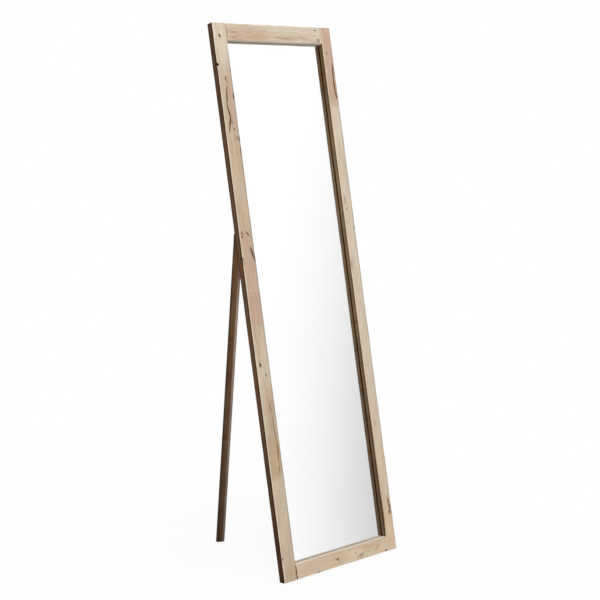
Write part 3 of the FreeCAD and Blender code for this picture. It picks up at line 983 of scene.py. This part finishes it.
BOTTOM_RAIL_MARKS = (
    Mark(BLUSH, 115, 22, 75, 40, 0.35, 0.5), Mark(DUN, 215, 22, 36, 30, 0.35, 0.3),
    Mark(BLEACH, 268, 28, 30, 18, 0.4, 0.2), Mark(DUN, 340, 28, 36, 16, 0.35, 0.3),
    Mark(BLEACH, 398, 24, 20, 24, 0.55, 0.3), Mark(KNOT, 370, 22, 18, 5, 0.36, 0.2, slant=-43),
    Mark(HOLE, 208, 23.5, 5, 2.8), Mark(CRACK, 211, 19.5, 4.5, 2, 0.8, slant=45),
    Mark(CRACK, 203, 23.5, 5, 1.5, 0.4), Mark(HOLE, 130, 1.5, 5, 1.9, core=0.7),
    Mark(BITE, 405, 4, 3.3, 2.5, core=0.9, depth=8), Mark(BLUSH, 302, 11, 16, 8, 0.6, 0.2),
    Mark(KNOT, 300, 13.5, 8, 5, 0.5, 0.3), Mark(KNOT, 308, 17, 6, 3.5, 0.4),
    Mark(KNOT, 283, 25, 3.5, 3, 0.45), Mark(KNOT, 288, 9, 9, 3.5, 0.35, 0.3),
    Mark(CRACK, 257, 38, 9, 1.5, 0.25), Mark(CRACK, 322, 38.5, 10, 1.6, 0.3), Mark(CRACK, 48.8, 20, 1.8, 30),
)


# Dowels: the same fibres and fine rings, in plain turned beech
BEECH = WeatheredWood(
    "turned_beech", FRAME_PLACE, Run.LEVEL, "#d8b98c", "#cda878", "#b98f60", "#b98f60",
    pith=(0, 40), seed=5.0, rings_mm=2.0)


@dataclass
class MirrorFrame:
    """The four boards of the frame, their dowels, and the old marks that each board carries."""

    body: str = "mirror_frame"
    slot: str = "reclaimed_wood"

    def build(self) -> None:
        """Builds the boards in order: left, right, top, bottom, and dresses the dowels."""
        left = WeatheredWood(
            "weathered_pine_left", FRAME_PLACE, Run.UPRIGHT, "#cebda6", "#c5ae97", "#ad967d", "#70563e",
            pith=(30, 70), seed=3.0, arrises=(0, 48), ends=(0, 1700), bottom_fade=(650, 0), sight=1.0,
            marks=LEFT_STILE_MARKS)
        right = WeatheredWood(
            "weathered_pine_right", FRAME_PLACE, Run.UPRIGHT, "#dbcdb9", "#d0b7a2", "#bea78d", "#9f8664",
            pith=(440, -60), seed=11.0, warm_share=0.35, edge_red="#937959", arrises=(411, 450),
            ends=(0, 1700), bottom_fade=(820, 260), bottom_tone="#7a5f45", sight=-1.0, marks=RIGHT_STILE_MARKS)
        top = WeatheredWood(
            "weathered_pine_top", FRAME_PLACE, Run.LEVEL, "#dacdb9", "#ccb6a3", "#b7a188", "#a5815c",
            pith=(1690, 80), seed=23.0, warm_share=0.4, sight=-1.0, marks=TOP_RAIL_MARKS)
        bottom = WeatheredWood(
            "weathered_pine_bottom", FRAME_PLACE, Run.LEVEL, "#e2d0b7", "#dac0a6", "#c4aa8c", "#a5815c",
            pith=(10, -70), seed=37.0, sight=1.0, marks=BOTTOM_RAIL_MARKS)
        bites = (Notch((0, 0, 1572), reach=6.5, depth=4.2), Notch((0, 5, 980), reach=8.0, depth=3.0))
        WornBoard("left_stile", self.body, self.slot, left, notches=bites).build()
        WornBoard("right_stile", self.body, self.slot, right).build()
        WornBoard("top_rail", self.body, self.slot, top, end_ease=(0.7, 0.7)).build()
        WornBoard("bottom_rail", self.body, self.slot, bottom, end_ease=(1.1, 0.3)).build()
        dress(("corner_dowels",), BEECH.material())


@dataclass
class SilveredGlass:
    """The mirror: a clear pane with silver on its back, and the board that closes the back of the frame.

    The silver reaches a little into the pane, so that no two faces lie in one plane. Sizes are in mm.
    """

    body: str = "mirror_frame"
    coat: float = 0.15
    bite: float = 0.05
    ground: float = 0.4

    def build(self) -> None:
        """Builds the pane and its silver, and dresses the backing board."""
        to_grid = FRAME_PLACE.to_world().inverted()
        low, high = corners([to_grid @ vert.co for vert in frame["nodes"]["mirror_glass"].data.vertices])
        pane_back = Vector((high.x, high.y - self.coat + self.bite, high.z))
        silver_front = Vector((low.x, high.y - self.coat, low.z))
        front = self.sheet("mirror_pane", low, pane_back, FloatGlass().material())
        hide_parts("mirror_glass")
        back = self.sheet("mirror_silver", silver_front, high, SilverCoat(low, high).material())
        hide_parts("mirror_glass")
        dress(("backing_board",), Hardboard().material())

    def sheet(self, name: str, low: Vector, high: Vector, material: Material) -> bpy.types.Object:
        """Makes one flat sheet with ground edges.

        Args:
            name: The sheet's name.
            low: Lowest corner on the frame's grid.
            high: Highest corner on the frame's grid.
            material: What it is made of.

        Returns:
            The sheet, riding on the frame.
        """
        size = high - low
        shape = bmesh.new()
        bmesh.ops.create_cube(shape, size=1.0)
        bmesh.ops.scale(shape, vec=size, verts=shape.verts)
        bmesh.ops.translate(shape, vec=(low + high) / 2, verts=shape.verts)
        bmesh.ops.bevel(shape, geom=shape.edges[:], offset=min(self.ground, size.y * 0.2), affect="EDGES",
                        segments=1, profile=0.5, material=-1)
        bmesh.ops.transform(shape, matrix=FRAME_PLACE.to_world(), verts=shape.verts)
        piece = add_piece(name, shape, material)
        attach(piece, self.body)
        log.info("sheet %s", name)
        return piece


@dataclass
class BackFittings:
    """Clips, screws, brackets, bolts and nuts on the back of the frame, and the nylon in the pivots."""

    plates: Sequence[str] = ("retainer_clips", "left_pivot_bracket", "right_pivot_bracket")
    fasteners: Sequence[str] = (
        "clip_screws", "bracket_screws", "left_pivot_bolt", "right_pivot_bolt",
        "left_lock_nut", "right_lock_nut")
    bearings: Sequence[str] = ("pivot_washers", "left_pivot_bush", "right_pivot_bush")

    def build(self) -> None:
        """Dresses the pressed plates, the fasteners and the bearings."""
        plate = BronzedSteel("bronzed_steel_sheet", "#6e5845", "#4a3a2d", crystal_mm=5.0, shine=0.34)
        screw = BronzedSteel("bronzed_steel_fastener", "#7c624c", "#554233", crystal_mm=2.5, shine=0.3)
        dress(self.plates, plate.material())
        dress(self.fasteners, screw.material())
        dress(self.bearings, TurnedNylon().material())


@dataclass
class LegSupport:
    """Two slats on edge and the bar that ties them, which fold flat behind the frame."""

    body: str = "leg_support"
    slot: str = "leg_wood"

    def build(self) -> None:
        """Builds the two legs and the crossbar, and dresses the crossbar's dowels."""
        left = WeatheredWood(
            "weathered_pine_left_leg", LEG_PLACE, Run.UPRIGHT, "#c9b4a7", "#bfa698", "#a5907f", "#7f6042",
            pith=(-240, 20), seed=51.0, edge_red="#78543b", edge_middle=-18.0, edge_half=44.0,
            ends=(-1016, 32), bottom_fade=(-200, -1150), bottom_tone="#3f3021", bottom_dim=0.78,
            marks=(Mark(KNOT, -206, -310, 8, 11, depth=10), Mark(KNOT, -206, -640, 6, 9, depth=8)))
        right = replace(
            left, name="weathered_pine_right_leg", pith=(250, -20), seed=67.0,
            marks=(Mark(KNOT, 210, -480, 7, 10, depth=9),))
        bar = WeatheredWood(
            "weathered_pine_crossbar", LEG_PLACE, Run.LEVEL, "#c8ae8a", "#bd9c7d", "#9d7f5e", "#a07c58",
            pith=(-70, 60), seed=71.0, marks=(Mark(KNOT, 40, -74, 7, 6, depth=30),))
        WornBoard("left_leg", self.body, self.slot, left, rub=0.3).build()
        WornBoard("right_leg", self.body, self.slot, right, rub=0.3).build()
        WornBoard("leg_crossbar", self.body, self.slot, bar, rub=0.4, end_ease=(0.0, 0.0)).build()
        beech = replace(BEECH, name="turned_beech_small", place=LEG_PLACE, seed=6.0)
        dress(("crossbar_dowels",), beech.material())


@dataclass(frozen=True)
class Softbox:
    """A square lamp with a white front: where it hangs, what it points at, its side (m) and its power (W)."""

    name: str
    place: Point
    aim: Point
    side: float
    watts: float

    def build(self) -> None:
        """Hangs the lamp, which lights the object but isn't itself seen."""
        light = bpy.data.lights.new(self.name, "AREA")
        light.shape = "SQUARE"
        light.size = self.side
        light.energy = self.watts
        lamp = add_object(self.name, light)
        lamp.location = self.place
        lamp.rotation_euler = (Vector(self.aim) - Vector(self.place)).to_track_quat("-Z", "Y").to_euler()
        lamp.visible_camera = False
        lamp.visible_glossy = False
        lamp.visible_transmission = False


@dataclass
class Studio:
    """A white studio: floor, soft lamps, a surround that the mirror reflects, and the camera.

    What the mirror sees has a level that falls with the square of how far a direction is past each fall's
    start along its aim, down to a base that rises with height, all times a gain. The camera sees the floor
    as pure white from where the shadow's reach ends, in metres.
    """

    ambient: float = 0.2
    level: float = 1.03
    falls: tuple[tuple[Point, float], ...] = (((6.0, 0.0, -1.37), 3.11), ((-0.7, 0.0, -1.0), -0.329))
    base: float = 0.58
    base_rise: float = 0.3
    base_blend: float = 0.1
    gain: float = 1.15
    floor_half: float = 8.0
    shadow_reach: Span = (0.3, 1.0)
    shadow_white: float = 0.93
    lamps: tuple[Softbox, ...] = (
        Softbox("key_softbox", (-3.0, -4.6, 4.2), (0.0, 0.0, 0.8), 2.4, 80.0),
        Softbox("fill_softbox", (2.2, -4.6, 2.0), (0.0, 0.0, 0.8), 1.6, 20.0),
        Softbox("overhead_softbox", (0.0, -0.8, 4.6), (0.0, -0.2, 0.0), 2.4, 95.0),
        Softbox("floor_card", (-1.1, -2.5, 0.15), (0.0, 0.0, 1.0), 1.4, 30.0),
        Softbox("back_softbox", (2.6, 2.4, 2.2), (0.0, 0.0, 0.8), 1.6, 60.0),
    )

    def build(self) -> None:
        """Sets up the floor, the lamps, the surround, the camera and the view transform."""
        self.floor()
        self.surround()
        for lamp in self.lamps:
            lamp.build()
        self.camera()
        bpy.context.scene.view_settings.view_transform = "Standard"

    def floor(self) -> None:
        """Lays a white floor that the camera sees as white, with the object's soft shadow near it."""
        material, add, shader = new_material("matte_white_floor")
        seen = add("LightPath", {}, out="Is Camera Ray")
        colour = add("Mix", {0: seen, 6: linear("#d8d4cc"), 7: linear("#ffffff")}, **RGBA)
        paint = add("BsdfDiffuse", {"Color": colour})
        glow = add("Emission", {"Color": linear("#ffffff"), "Strength": 1.0})
        spot = add("TexCoord", {}, out="Object")
        far = add("VectorMath", {0: spot}, out="Value", operation="LENGTH")
        near, wide = self.shadow_reach
        white = add("MapRange", {
            "Value": far, "From Min": near, "From Max": wide, "To Min": self.shadow_white, "To Max": 1.0,
        }, **SMOOTH)
        share = add("Math", {0: seen, 1: white}, operation="MULTIPLY")
        mixed = add("MixShader", {0: share, 1: paint, 2: glow})
        feed(material.node_tree.nodes["Material Output"], {"Surface": mixed})
        material.node_tree.nodes.remove(shader)
        shape = bmesh.new()
        bmesh.ops.create_grid(shape, x_segments=1, y_segments=1, size=self.floor_half)
        floor = add_piece("studio_floor", shape, material)
        floor.visible_glossy = False
        floor.visible_transmission = False
        log.info("floor laid")

    def surround(self) -> None:
        """Makes the surround: white to the camera, falling off to the mirror, dim and warm elsewhere."""
        world = bpy.data.worlds.new("white_studio")
        bpy.context.scene.world = world
        world.use_nodes = True
        add = partial(add_node, world.node_tree)
        way = add("TexCoord", {}, out="Generated")
        level: Union[float, Socket] = self.level
        for aim, start in self.falls:
            fall = add("VectorMath", {0: way, 1: aim}, out="Value", operation="DOT_PRODUCT")
            fall = add("Math", {0: fall, 1: start}, operation="SUBTRACT")
            fall = add("Math", {0: fall, 1: 0.0}, operation="MAXIMUM")
            fall = add("Math", {0: fall, 1: fall}, operation="MULTIPLY")
            level = add("Math", {0: level, 1: fall}, operation="SUBTRACT")
        height = add("SeparateXYZ", {0: way}, out=2)
        low = add("Math", {0: height, 1: self.base_rise, 2: self.base}, operation="MULTIPLY_ADD")
        level = add("Math", {0: level, 1: low, 2: self.base_blend}, operation="SMOOTH_MAX")
        level = add("Math", {0: level, 1: self.gain}, operation="MULTIPLY")
        ray = add("LightPath", {}).node.outputs
        shiny = add("Math", {
            0: ray["Is Glossy Ray"], 1: ray["Is Transmission Ray"],
        }, operation="MAXIMUM")
        mirror = add("Background", {"Color": linear("#ffffff"), "Strength": level})
        soft = add("Background", {"Color": linear("#fffaf3"), "Strength": self.ambient})
        white = add("Background", {"Color": linear("#ffffff"), "Strength": 1.0})
        mixed = add("MixShader", {0: shiny, 1: soft, 2: mirror})
        mixed = add("MixShader", {0: ray["Is Camera Ray"], 1: mixed, 2: white})
        feed(world.node_tree.nodes["World Output"], {"Surface": mixed})

    def camera(self) -> None:
        """Sets the camera where the photograph was taken from."""
        data = bpy.data.cameras.new("photo_camera")
        data.lens = 66.46
        data.sensor_width = 36.0
        camera = add_object("photo_camera", data)
        camera.location = (-2.0642, -2.7332, 1.4335)
        camera.rotation_euler = (math.radians(79.812), 0.0, math.radians(-36.893))
        bpy.context.scene.camera = camera


def main() -> None:
    """Builds the sub-assemblies in order."""
    logging.basicConfig(level=logging.INFO, format="%(name)s: %(message)s")
    MirrorFrame().build()
    SilveredGlass().build()
    BackFittings().build()
    LegSupport().build()
    Studio().build()


if __name__ == "__main__":
    main()
